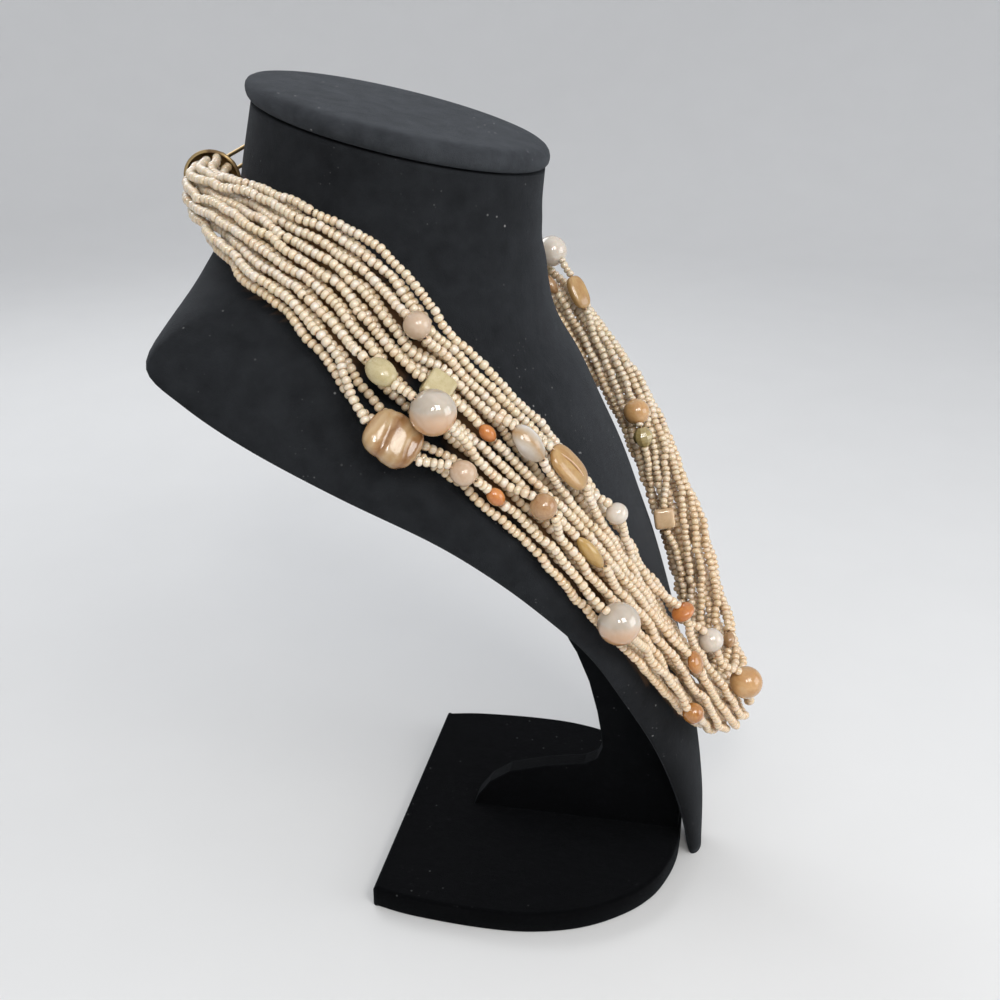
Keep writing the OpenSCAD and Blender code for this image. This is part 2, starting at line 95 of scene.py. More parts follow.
# Route of the necklace: angle from the front, height, lift, rope share, spread, turn, crown
ANGLE, RISE, LIFT, ROPE, SPREAD, TWIST, CROWN = range(7)
ROUTE = np.array([
    [-174, 249.5, 10.4, 1, 1, 0, 0],
    [-146, 246.5, 9.6, 0.9, 1.03, 0, 0],
    [-112, 242, 8.2, 0.4, 1.08, 0, 0],
    [-78, 234.5, 7, 0.05, 1.12, 0, 0],
    [-54, 220, 6.2, 0, 1.2, 0, -0.4],
    [-46, 199.5, 6, 0, 1.15, 0, -1.8],
    [-43, 174, 6, 0, 1.1, 0, -2.4],
    [-43, 147, 6.2, 0.04, 1.1, 0, -2.8],
    [-41, 117, 7.4, 0.28, 1.12, 0, -3.2],
    [-36, 88, 9.8, 0.7, 1.14, 8, -3],
    [-18, 68, 12.6, 1, 1.2, 50, 0],
    [18, 68, 13, 1, 1.2, 110, 0],
    [35, 88, 11.6, 1, 1.14, 165, 0],
    [39, 117, 11, 1, 1.12, 215, 0],
    [40, 147, 10.6, 1, 1.08, 275, 0],
    [41, 174, 10.2, 1, 1.06, 325, 0],
    [45, 199.5, 10, 1, 1.05, 370, 0],
    [56, 220, 10, 1, 1.04, 415, 0],
    [77, 235, 9.6, 1, 1.04, 460, 0],
    [107, 241.5, 9.6, 1, 1.05, 500, 0],
    [126, 246, 10, 1, 1.06, 530, 0],
    [138, 250.5, 10.6, 1, 1.05, 545, 0],
    [145, 252.5, 10.4, 1, 1, 555, 0],
])
LAST = len(ROUTE) - 1
BENDS = (2.62, 18.43)  # where the strands cross the widest line of the neck

# Place of each strand: across and up in the flat ribbon, across and up in the rope
SLOTS = np.array([
    [-14.85, -1.66, -6.74, -0.21],
    [-12.86, 1.66, -5.89, 3.21],
    [-10.89, -1.66, -4.71, -4.82],
    [-8.91, 1.66, -3.53, -1.5],
    [-6.93, -1.66, -1.75, -6.55],
    [-4.94, 1.66, -3.53, 5.78],
    [-2.97, -1.66, -1.82, 2.68],
    [-0.98, 1.66, -0.11, 6.74],
    [0.98, -1.66, -0.43, -3.21],
    [2.97, 1.66, 1.71, 2.78],
    [4.94, -1.66, 2, -6.57],
    [6.93, 1.66, 3.32, -1.5],
    [8.91, -1.66, 4.92, -4.6],
    [10.89, 1.66, 3.42, 5.78],
    [12.86, -1.66, 6.74, -0.54],
    [14.85, 1.66, 5.99, 3.1],
])
STRANDS = len(SLOTS)
RIBBON = 15  # half width of the flat ribbon
CALM = 14  # how far across the bundle a larger bead's parting is felt

# Larger beads: node, strand, place along the route, shape, length along the thread, width, thickness,
# lift of its strand, parting of the others, direction of the lift, direction its upper side faces, finish
Bead = namedtuple("Bead", "node strand place shape length width high lift part aim face finish")
BEADS = [Bead(*row) for row in (
    ("shell_bead", 1, 4.78, "shell", 18, 17, 6.5, 7.5, 0, 170, 95, "banded_shell"),
    ("pink_nugget_bead", 1, 5.38, "nugget", 9, 8.6, 7.5, 5, 0, 110, 100, "pink_stone"),
    ("orange_bead_2", 1, 5.74, "spindle", 7, 5, 5, 0, 0, 90, 90, "orange_glass"),
    ("milky_bead_2", 1, 7.38, "round", 14, 14, 14, 8, 0.4, 135, 90, "milky_glass"),
    ("amber_bead", 1, 9, "round", 7.6, 7.6, 7.6, 4, 0, 150, 90, "amber_glass"),
    ("cream_oval_bead", 3, 4.37, "oval", 10.5, 8, 6.5, 4.5, 0, 90, 90, "cream_stone"),
    ("milky_bead_1", 3, 4.87, "round", 14, 14, 14, 10.9, 1.6, 88, 90, "milky_glass"),
    ("tan_bead", 3, 6.08, "round", 8.4, 8.4, 8.4, 6.5, 0, 90, 90, "tan_glass"),
    ("brown_bead", 4, 11.48, "spindle", 6.4, 4.6, 4.6, 2, 0, 35, 90, "tan_glass"),
    ("rice_bead", 5, 6.8, "spindle", 14.5, 5, 5, 1, 0.4, 90, 90, "yellow_glass"),
    ("cube_bead", 5, 13.1, "block", 8, 8, 8, 6, 1.2, -45, 0, "ivory_glass"),
    ("square_tablet", 7, 4.82, "block", 9, 9, 4.4, 3, 3.2, 90, 90, "cream_stone"),
    ("orange_bead_1", 7, 5.38, "spindle", 6.4, 4.6, 4.6, 0.5, 0, 90, 90, "orange_glass"),
    ("amber_nugget_bead", 7, 8.6, "nugget", 9, 8.4, 4.6, 3, 0, 90, 90, "amber_glass"),
    ("striped_nugget_bead", 9, 5.68, "nugget", 14, 8.8, 7.5, 8, 0.4, 90, 90, "striped_stone"),
    ("pearl_bead", 11, 4.24, "round", 8.6, 8.6, 8.6, 5.5, 0, 90, 90, "pearl"),
    ("gold_disc_bead", 11, 6.12, "disc", 17, 11.5, 4.2, 8, 2, 90, 80, "gold_glass"),
    ("white_bead_1", 13, 6.84, "round", 7.3, 7.3, 7.3, 6, 0, 90, 90, "white_glass"),
    ("orange_disc_bead", 13, 8.2, "oval", 5, 8.4, 8.4, 4, 0, 80, 90, "orange_glass"),
    ("faceted_bead", 13, 14, "faceted", 7.6, 7.6, 7.6, 7.5, 0, 0, 0, "green_glass"),
    ("peach_bead_2", 13, 14.28, "round", 10.2, 10.2, 10.2, 3, 0, 0, 0, "peach_glass"),
    ("dark_bead", 14, 15.9, "spindle", 9.5, 4.8, 4.8, 0, 0, 0, 0, "tan_glass"),
    ("grey_bead", 15, 8.8, "round", 8.8, 8.8, 8.8, 6, 0, 60, 90, "white_glass"),
    ("peach_bead_1", 15, 9.7, "round", 12, 12, 12, 8, 0, 60, 90, "peach_glass"),
    ("tan_disc_bead", 15, 15.64, "disc", 14, 8.4, 4.4, 4.5, 0, 25, 25, "gold_glass"),
    ("white_bead_2", 15, 16.1, "round", 12, 12, 12, 7.5, 0, 45, 90, "white_glass"),
)]


# Curves of the form and of the strands

def unit(v):
    """Vectors of length one."""
    return v / np.linalg.norm(v, axis=-1, keepdims=True)


def ease(y0, y1, m0, m1, f):
    """Cubic curve between two values with given slopes."""
    return ((2 * f ** 3 - 3 * f ** 2 + 1) * y0 + (f ** 3 - 2 * f ** 2 + f) * m0
            + (3 * f ** 2 - 2 * f ** 3) * y1 + (f ** 3 - f ** 2) * m1)


def column(z, c):
    """Smooth curve through one column of the form's rows."""
    x, y = FORM[:, 0], FORM[:, c]
    z = np.clip(z, x[0], x[-1])
    k = np.clip(np.searchsorted(x, z, side="right") - 1, 0, len(x) - 2)
    m = np.empty_like(y)
    m[1:-1] = (y[2:] - y[:-2]) / (x[2:] - x[:-2])
    m[0], m[-1] = (y[1] - y[0]) / (x[1] - x[0]), (y[-1] - y[-2]) / (x[-1] - x[-2])
    h = x[k + 1] - x[k]
    return ease(y[k], y[k + 1], m[k] * h, m[k + 1] * h, (z - x[k]) / h)


def on_form(angle, z):
    """Point of the velvet form at an angle from its front and a height."""
    angle, z = np.broadcast_arrays(np.asarray(angle, float), np.asarray(z, float))
    half, mid, front, back, lean = [column(z, c) for c in (HALF, MID, FRONT, BACK, LEAN)]
    s, c = np.sin(np.radians(angle)), np.cos(np.radians(angle))
    depth = np.where(c > 0, front, back)
    return np.stack([half * s, mid - depth * c, z - lean * depth * c], -1)


def form_normal(angle, z):
    """Direction straight out of the velvet form."""
    across = on_form(angle + 0.5, z) - on_form(angle - 0.5, z)
    upward = on_form(angle, z + 0.3) - on_form(angle, z - 0.3)
    return unit(np.cross(across, upward))


def along(u, c):
    """One column of the route at a place along it."""
    u = np.asarray(u, float)
    y = ROUTE[:, c]
    k = np.clip(np.floor(u).astype(int), 0, LAST - 1)
    m = np.empty_like(y)
    m[1:-1] = (y[2:] - y[:-2]) / 2
    m[0], m[-1] = y[1] - y[0], y[-1] - y[-2]
    return ease(y[k], y[k + 1], m[k], m[k + 1], u - k)


def centre(u):
    """Middle of the bundle at a place along the route."""
    a, z = along(u, ANGLE), along(u, RISE)
    return on_form(a, z) + along(u, LIFT)[..., None] * form_normal(a, z)


def frame_of(u):
    """Middle of the bundle, its direction, outward and across."""
    u = np.asarray(u, float)
    t = unit(centre(np.minimum(u + 0.05, LAST)) - centre(np.maximum(u - 0.05, 0)))
    n = form_normal(along(u, ANGLE), along(u, RISE))
    n = unit(n - (n * t).sum(-1, keepdims=True) * t)
    return centre(u), t, n, np.cross(n, t)


def place(i, u):
    """Offset of a strand from the middle of the bundle."""
    rope, spread, twist = along(u, ROPE), along(u, SPREAD), np.radians(along(u, TWIST))
    a = ((1 - rope) * SLOTS[i, 0] + rope * SLOTS[i, 2]) * spread
    b = ((1 - rope) * SLOTS[i, 1] + rope * SLOTS[i, 3]) * (1 + (spread - 1) * rope)
    x, y = a * np.cos(twist) - b * np.sin(twist), a * np.sin(twist) + b * np.cos(twist)
    return x, y + along(u, CROWN) * (1 - rope) * (x / RIBBON) ** 2


Seat = namedtuple("Seat", "bead speed reach x y")


def seat_of(bead):
    """A larger bead with its speed along the route, how far it acts, and its place in the bundle."""
    u = float(bead.place)
    speed = float(np.linalg.norm(centre(u + 0.05) - centre(u - 0.05)) * 10)
    x, y = place(bead.strand, u)
    return Seat(bead, speed, bead.length / 2 + 6, float(x), float(y))


SEATS = [seat_of(bead) for bead in BEADS]


def strand_at(i, u):
    """Points of a strand, lifted by its own larger beads and parted by those of the others."""
    u = np.asarray(u, float)
    c, _, n, across = frame_of(u)
    x, y = place(i, u)
    for bead, speed, reach, bead_x, bead_y in SEATS:
        away = (u - bead.place) * speed
        pull = np.exp(-((away / reach) ** 2)) * (np.abs(away) < 2 * reach)
        aim = math.radians(bead.aim)
        if bead.strand == i:
            x, y = x + pull * bead.lift * math.cos(aim), y + pull * bead.lift * math.sin(aim)
        else:
            px, py = place(i, float(bead.place))
            side = (px - bead_x) * math.sin(aim) - (py - bead_y) * math.cos(aim)
            part = pull * bead.part * np.sign(side) * math.exp(-abs(side) / CALM)
            x, y = x + part * math.sin(aim), y - part * math.cos(aim)
    return c + x[..., None] * across + y[..., None] * n


def eased(path, u):
    """Softens the two bends where the strands cross the widest line of the neck."""
    count = 60
    reach = np.exp(-np.linspace(-3, 3, 2 * count + 1) ** 2 / 2)
    reach /= reach.sum()
    wide = np.pad(path, ((count, count), (0, 0)), mode="edge")
    soft = np.stack([np.convolve(wide[:, k], reach, mode="valid") for k in range(3)], -1)
    share = sum(np.exp(-((u - bend) / 0.5) ** 4) for bend in BENDS)
    return path + (soft - path) * share[:, None]


def bead_seat(seat):
    """Middle of a larger bead, and its width, thickness and thread directions."""
    bead = seat.bead
    span = (bead.length / 2 + 0.25) / seat.speed
    p, r = strand_at(bead.strand, bead.place + np.array([-span, span]))
    axis = unit(r - p)
    _, _, n, across = frame_of(float(bead.place))
    face = math.radians(bead.face)
    up = math.cos(face) * across + math.sin(face) * n
    up = unit(up - (up @ axis) * axis)
    return (p + r) / 2, np.cross(up, axis), up, axis


# Meshes

def new_mesh(name, points, faces, layers=None, slots=None, materials=(), smooth=True):
    """A mesh object from points in millimetres, with named values on its points."""
    mesh = bpy.data.meshes.new(name)
    points = np.asarray(points, float) * MM
    if isinstance(faces, np.ndarray):
        n, k = faces.shape
        mesh.vertices.add(len(points))
        mesh.vertices.foreach_set("co", points.ravel())
        mesh.loops.add(n * k)
        mesh.loops.foreach_set("vertex_index", faces.ravel().astype(np.int32))
        mesh.polygons.add(n)
        mesh.polygons.foreach_set("loop_start", np.arange(0, n * k, k, dtype=np.int32))
        mesh.update(calc_edges=True)
    else:
        mesh.from_pydata(points.tolist(), [], [list(map(int, f)) for f in faces])
    mesh.validate()
    for key, values in (layers or {}).items():
        values = np.asarray(values, np.float32)
        kind, field = ("FLOAT", "value") if values.ndim == 1 else ("FLOAT_VECTOR", "vector")
        mesh.attributes.new(key, kind, "POINT").data.foreach_set(field, values.ravel())
    for m in materials:
        mesh.materials.append(m)
    if slots is not None:
        mesh.polygons.foreach_set("material_index", np.asarray(slots, np.int32))
    mesh.polygons.foreach_set("use_smooth", np.full(len(mesh.polygons), smooth))
    ob = bpy.data.objects.new(name, mesh)
    bpy.context.scene.collection.objects.link(ob)
    return ob


def ring(count):
    """Angles of points spaced evenly round a circle."""
    return np.arange(count) * TURN / count


def grid_faces(rows, cols, start=0):
    """Quads between closed rings of points that follow each other."""
    j, k = np.meshgrid(np.arange(rows - 1), np.arange(cols), indexing="ij")
    a = j * cols + k
    b = j * cols + (k + 1) % cols
    return start + np.stack([a, b, b + cols, a + cols], -1).reshape(-1, 4)


def skin(rings):
    """Points and faces of a closed body through rings, with a fan at each end."""
    rings = np.asarray(rings, float)
    m, n = rings.shape[:2]
    points = np.concatenate([rings.reshape(-1, 3), rings[0].mean(0)[None], rings[-1].mean(0)[None]])
    faces = [tuple(f) for f in grid_faces(m, n)]
    for k in range(n):
        faces.append(((k + 1) % n, k, m * n))
        faces.append(((m - 1) * n + k, (m - 1) * n + (k + 1) % n, m * n + 1))
    return points, faces


def flatten(ob, area=2e-5):
    """Flat shading for the large flat faces, so that their rounded rims leave no shade on them."""
    for face in ob.data.polygons:
        face.use_smooth = face.area < area


def finish_piece(ob, node):
    """Puts a fine mesh in the place of its solid."""
    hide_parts(node)
    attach(ob, "root")


# Shader maths

class Value:
    """A socket that can be used in expressions."""

    def __init__(self, mat, socket):
        self.mat, self.socket = mat, socket

    def _do(self, op, *terms):
        return self.mat.node("ShaderNodeMath", {"operation": op}, *terms)

    def __add__(self, o):
        return self._do("ADD", self, o)

    def __sub__(self, o):
        return self._do("SUBTRACT", self, o)

    def __rsub__(self, o):
        return self._do("SUBTRACT", o, self)

    def __mul__(self, o):
        return self._do("MULTIPLY", self, o)

    def __pow__(self, o):
        return self._do("POWER", self, o)

    __radd__, __rmul__ = __add__, __mul__

    def below(self, limit, soft=0.0001):
        """1 where the value is under the limit, with a soft step."""
        return self.mat.node("ShaderNodeMapRange", {"interpolation_type": "SMOOTHSTEP", "clamp": True},
                             self, limit - soft, limit + soft, 1.0, 0.0)

    def above(self, limit, soft=0.0001):
        """1 where the value is over the limit, with a soft step."""
        return 1 - self.below(limit, soft)


class Finish:
    """One procedural material, built node by node."""

    def __init__(self, name):
        self.mat = bpy.data.materials.new(name)
        self.mat.use_nodes = True
        self.tree = self.mat.node_tree
        self.tree.nodes.clear()
        self.surface = self.tree.nodes.new("ShaderNodeBsdfPrincipled")
        out = self.tree.nodes.new("ShaderNodeOutputMaterial")
        self.tree.links.new(self.surface.outputs[0], out.inputs[0])

    def feed(self, socket, value):
        """Links a socket to a value of the shader, or sets it to a number or colour."""
        if isinstance(value, Value):
            self.tree.links.new(value.socket, socket)
        elif value is not None:
            if socket.type == "RGBA" and len(value) == 3:
                value = (*value, 1.0)
            socket.default_value = value

    def node(self, kind, settings=None, *values, out=0, **named):
        """A node with its settings, and the values or links of its sockets in order or by name."""
        n = self.tree.nodes.new(kind)
        for k, v in (settings or {}).items():
            setattr(n, k, v)
        inputs = [s for s in n.inputs if s.enabled] if values else []
        for s, v in zip(inputs, values):
            self.feed(s, v)
        for k, v in named.items():
            self.feed(n.inputs[k], v)
        outs = [s for s in n.outputs if s.enabled]
        return Value(self, n.outputs[out] if isinstance(out, str) else outs[out])

    def layer(self, name):
        """A value kept on the points of the mesh."""
        return self.node("ShaderNodeAttribute", {"attribute_name": name}, out="Fac")

    def spot(self):
        """Place on the bead in its own directions, from -1 to 1."""
        return self.node("ShaderNodeAttribute", {"attribute_name": "spot"}, out="Vector")

    def where(self):
        """Place in the object, in metres."""
        return self.node("ShaderNodeTexCoord", {}, out="Object")

    def noise(self, at, scale, detail=2.0, rough=0.5, distortion=0.0):
        return self.node("ShaderNodeTexNoise", {}, out="Fac", Vector=at, Scale=scale, Detail=detail,
                         Roughness=rough, Distortion=distortion)

    def cells(self, at, scale, out="Distance"):
        return self.node("ShaderNodeTexVoronoi", {}, out=out, Vector=at, Scale=scale)

    def mix(self, f, a, b):
        return self.node("ShaderNodeMix", {"data_type": "RGBA"}, f, a, b)

    def bump(self, height, strength, distance):
        return self.node("ShaderNodeBump", {}, out="Normal", Height=height, Strength=strength,
                         Distance=distance)

    def set(self, **values):
        """Feeds the sockets of the surface by name."""
        for k, v in values.items():
            self.feed(self.surface.inputs[k.replace("_", " ")], v)


# Finishes

LINT_GREY = (0.28, 0.28, 0.28)
# Colour of the painted glow that light through the beads casts on the velvet.
PAINTED_GLOW_TONE = (0.34, 0.18, 0.075)


def velvet(name, base, tip, sheen=0.14, gloss=0.08, lint=0.8):
    """Brushed black pile with lint on it, darker low down with painted shade, and with a painted glow under
    the beads.
    """
    m = Finish(name)
    at = m.where()
    nap = m.noise(at, 160.0, 3.0, 0.6)
    brushed = m.noise(at, 26.0, 3.0, 0.55, 0.6)
    pile = m.noise(at, 2600.0, 2.0, 0.7)
    colour = m.mix((nap * 0.5 + brushed * 0.5).above(0.5, 0.42), base, tip)
    height = m.node("ShaderNodeSeparateXYZ", {}, at, out="Z")
    # Painted shade: below about 75 mm the velvet's colour fades to 0.3 of its base tone.
    colour = m.mix(height.above(0.075, 0.085), tuple(c * 0.3 for c in base), colour)
    fleck = m.cells(at, 210.0).below(0.075, 0.03) * m.noise(at, 31.0, 1.0).above(0.57, 0.05)
    crumb = m.cells(at, 420.0).below(0.1, 0.05) * m.noise(at, 57.0, 1.0).above(0.62, 0.05)
    colour = m.mix(fleck * lint + crumb * (lint * 0.4), colour, LINT_GREY)
    # Painted light: the velvet is warmed toward this tone where several strands lie over it.
    colour = m.mix(m.layer("glow") * 0.85, colour, PAINTED_GLOW_TONE)
    m.set(Base_Color=colour, Roughness=0.93, Normal=m.bump(pile * 0.5 + nap * 0.5, 0.8, 0.0006),
          Sheen_Weight=sheen, Sheen_Roughness=0.4, Sheen_Tint=(0.5, 0.54, 0.6), Specular_IOR_Level=gloss)
    return m.mat


def seed_glass(name, settings):
    """Pearly seed beads, each with its own tone, with painted warm shade where they meet and painted bounce
    light on the lower strands.
    """
    m = Finish(name)
    tone, end, hue, deep, low = [m.layer(key) for key in ("tone", "end", "hue", "deep", "low")]
    pink, cream, orange = settings.pink_tone, settings.cream_tone, settings.painted_gap_shade
    body = m.mix(hue, pink, cream)
    body = m.mix(tone.below(0.14, 0.1) * 0.35, body, (0.68, 0.48, 0.32))
    body = m.mix(tone.above(0.78, 0.1) * 0.55, body, (0.77, 0.72, 0.66))
    # Painted bounce light: strands of the lower layer are warmed toward amber.
    body = m.mix(deep * 0.7, body, (0.74, 0.54, 0.3))
    body = m.mix(low * 0.45, body, (0.76, 0.53, 0.31))
    # Painted shade: the ends of each bead fade to the warm gap colour, more on the lower strands and low on
    # the bust.
    colour = m.mix(end ** 1.6 * (0.5 + deep * 0.3 + low * 0.2), body, orange)
    m.set(Base_Color=colour, Roughness=0.2 + tone * 0.1, Coat_Weight=1.0, Coat_Roughness=0.14,
          Subsurface_Weight=0.3, Subsurface_Radius=(0.0025, 0.0015, 0.0008), Subsurface_Scale=0.5,
          Specular_IOR_Level=0.9)
    return m.mat


def thread_fibre():
    """Twisted tan thread."""
    m = Finish("thread")
    twist = m.noise(m.where(), 3000.0)
    m.set(Base_Color=m.mix(twist, (0.55, 0.34, 0.2), (0.7, 0.5, 0.34)), Roughness=0.8)
    return m.mat


def bead_finish(name, light, dark, scale, rough, coat, soft):
    """Polished glass or stone of two tones that cloud into each other, with painted shade on its lower side.
    """
    m = Finish(name)
    at = m.spot()
    cloud = m.noise(at, scale, 3.0, 0.55, 0.7)
    grain = m.noise(at, scale * 5.0, 2.0)
    mask = (cloud * 0.75 + grain * 0.25).above(0.5, 0.25)
    low = m.layer("low")
    colour = m.mix(mask, light, dark)
    # Painted shade: the lower side of the bead darkens toward its dark tone.
    colour = m.mix(low * 0.35, colour, tuple(c * 0.8 for c in dark))
    m.set(Base_Color=colour, Roughness=rough + grain * 0.08, Coat_Weight=coat, Coat_Roughness=0.04,
          Subsurface_Weight=soft, Subsurface_Radius=(0.004, 0.0022, 0.0012), Subsurface_Scale=0.5,
          Normal=m.bump(grain * 0.3, 0.25, 0.0004))
    return m.mat


def milky():
    """Clouded white glass that turns peach low down."""
    m = Finish("milky_glass")
    at, low = m.spot(), m.layer("low")
    cloud = m.noise(at, 1.3, 2.0, 0.5, 0.5)
    colour = m.mix(cloud.above(0.52, 0.2), (0.45, 0.385, 0.31), (0.55, 0.48, 0.4))
    colour = m.mix(low ** 0.5, colour, (0.6, 0.31, 0.13))
    m.set(Base_Color=colour, Roughness=0.05, Coat_Weight=1.0, Coat_Roughness=0.015, Subsurface_Weight=0.3,
          Subsurface_Radius=(0.006, 0.0035, 0.002), Subsurface_Scale=0.6, Specular_IOR_Level=0.6)
    return m.mat


def banded(name, axis, bands, stops, warp, rough, ridge=0.0):
    """Bands of several tones across one direction of the bead, with painted shade on its lower side."""
    m = Finish(name)
    at = m.spot()
    part = m.node("ShaderNodeSeparateXYZ", {}, at, out=axis)
    cloud = m.noise(at, 2.2, 3.0, 0.55, 0.4)
    wave = part * bands + cloud * warp * bands
    saw = m.node("ShaderNodeMath", {"operation": "PINGPONG"}, wave, 1.0)
    ramp = m.node("ShaderNodeValToRGB", {}, saw, out="Color")
    cr = ramp.socket.node.color_ramp
    cr.elements[0].position, cr.elements[0].color = 0.0, (*stops[0], 1)
    cr.elements[1].position, cr.elements[1].color = 1.0, (*stops[-1], 1)
    for k, c in enumerate(stops[1:-1]):
        cr.elements.new((k + 1) / (len(stops) - 1)).color = (*c, 1)
    fine = m.noise(at, 14.0, 2.0)
    # Painted shade: the lower side of the bead darkens toward its darkest band.
    colour = m.mix(m.layer("low") * 0.4, ramp, tuple(c * 0.45 for c in stops[0]))
    m.set(Base_Color=colour, Roughness=rough + fine * 0.1, Coat_Weight=0.55, Coat_Roughness=0.06,
          Subsurface_Weight=0.08, Subsurface_Radius=(0.003, 0.002, 0.001), Subsurface_Scale=0.5,
          Normal=m.bump(fine * 0.3 + saw * ridge, 0.3, 0.0004))
    return m.mat


def antique_brass():
    """Worn brass with dark dirt in its clouds."""
    m = Finish("antique_brass")
    at = m.where()
    wear = m.noise(at, 260.0, 3.0, 0.6)
    dirt = m.noise(at, 90.0, 3.0, 0.6, 0.5).above(0.52, 0.12)
    colour = m.mix(dirt, m.mix(wear, (0.52, 0.36, 0.16), (0.74, 0.55, 0.28)), (0.16, 0.1, 0.05))
    m.set(Base_Color=colour, Metallic=1 - dirt * 0.35, Roughness=0.3 + dirt * 0.3 + wear * 0.08,
          Normal=m.bump(wear, 0.3, 0.0003))
    return m.mat


def floor_finish():
    """Pale matt floor."""
    m = Finish("studio_floor")
    grain = m.noise(m.where(), 18.0, 3.0)
    m.set(Base_Color=m.mix(grain, (0.74, 0.74, 0.735), (0.77, 0.77, 0.765)), Roughness=0.75)
    return m.mat


# Polished beads: light tone, dark tone, fineness of the clouds, roughness, coat, glow under the surface
STONES = {
    "pink_stone": ((0.5, 0.34, 0.22), (0.58, 0.44, 0.32), 1.2, 0.2, 0.5, 0.2),
    "orange_glass": ((0.6, 0.24, 0.06), (0.46, 0.14, 0.03), 1.2, 0.14, 0.7, 0.15),
    "amber_glass": ((0.52, 0.24, 0.06), (0.34, 0.12, 0.02), 1.4, 0.08, 1.0, 0.2),
    "cream_stone": ((0.54, 0.46, 0.27), (0.44, 0.36, 0.18), 1.7, 0.24, 0.4, 0.1),
    "tan_glass": ((0.48, 0.3, 0.15), (0.34, 0.17, 0.07), 1.5, 0.14, 0.7, 0.15),
    "yellow_glass": ((0.5, 0.33, 0.11), (0.4, 0.23, 0.06), 1.1, 0.14, 0.7, 0.2),
    "green_glass": ((0.48, 0.38, 0.17), (0.28, 0.2, 0.07), 1.3, 0.05, 1.0, 0.15),
    "pearl": ((0.58, 0.45, 0.33), (0.5, 0.35, 0.24), 0.9, 0.2, 0.6, 0.15),
    "gold_glass": ((0.52, 0.34, 0.14), (0.38, 0.2, 0.07), 1.2, 0.2, 0.6, 0.1),
    "white_glass": ((0.7, 0.63, 0.55), (0.6, 0.52, 0.43), 1.2, 0.1, 0.9, 0.2),
    "peach_glass": ((0.62, 0.38, 0.17), (0.48, 0.25, 0.09), 1.1, 0.15, 0.8, 0.2),
    "ivory_glass": ((0.66, 0.46, 0.27), (0.52, 0.34, 0.18), 1.2, 0.16, 0.6, 0.2),
}
SHELL_BANDS = [(0.24, 0.11, 0.035), (0.37, 0.21, 0.09), (0.5, 0.35, 0.19), (0.44, 0.28, 0.13)]
STONE_BANDS = [(0.42, 0.26, 0.12), (0.5, 0.42, 0.33), (0.66, 0.62, 0.58)]


def bead_material(name):
    """The finish of a larger bead, made once."""
    made = bpy.data.materials.get("polished_" + name)
    if made:
        return made
    if name == "milky_glass":
        mat = milky()
    elif name == "banded_shell":
        mat = banded(name, "Z", 2.3, SHELL_BANDS, 0.35, 0.14, 0.5)
    elif name == "striped_stone":
        mat = banded(name, "X", 1.3, STONE_BANDS, 0.45, 0.12)
    else:
        mat = bead_finish(name, *STONES[name])
    mat.name = "polished_" + name
    return mat


# Settings

class BustSettings(bpy.types.PropertyGroup):
    sides: IntProperty(
        name="Sides", description="Faces round the velvet form", default=192, min=48, max=256)
    steps: IntProperty(
        name="Steps", description="Rings up the velvet form", default=150, min=40, max=260)
    velvet_dark: FloatVectorProperty(
        name="Velvet", description="Colour between the pile", subtype="COLOR",
        default=(0.0062, 0.0068, 0.0078), min=0, max=1)
    velvet_tip: FloatVectorProperty(
        name="Velvet tips", description="Colour of the brushed pile", subtype="COLOR",
        default=(0.0225, 0.0245, 0.0275), min=0, max=1)


class NecklaceSettings(bpy.types.PropertyGroup):
    bead_width: FloatProperty(
        name="Bead width", description="Usual width of a seed bead", unit="LENGTH",
        default=3.12 * MM, min=0.002, max=0.0032)
    bead_pitch: FloatProperty(
        name="Bead pitch", description="Step along the thread against the width",
        default=0.7, min=0.5, max=1.0)
    pink_tone: FloatVectorProperty(
        name="Pink beads", description="Rosier seed beads", subtype="COLOR",
        default=(0.73, 0.63, 0.51), min=0, max=1)
    cream_tone: FloatVectorProperty(
        name="Cream beads", description="Yellower seed beads", subtype="COLOR",
        default=(0.72, 0.62, 0.43), min=0, max=1)
    # Painted shade and glow between the beads, mixed in at each bead's ends.
    painted_gap_shade: FloatVectorProperty(
        name="Between beads", description="Colour in the gaps of a strand", subtype="COLOR",
        default=(0.66, 0.42, 0.2), min=0, max=1)


class StudioSettings(bpy.types.PropertyGroup):
    key: FloatProperty(
        name="Key light", description="Strength of the main soft light", unit="POWER", default=2.9, min=0)
    window: FloatProperty(
        name="Window light", description="Strength of the small light that glints on the beads",
        unit="POWER", default=1.3, min=0)
    fill: FloatProperty(
        name="Fill light", description="Strength of the side lights", unit="POWER", default=2.4, min=0)
    sky: FloatProperty(
        name="Room", description="Brightness of the room", default=0.74, min=0, max=3)


# Operators

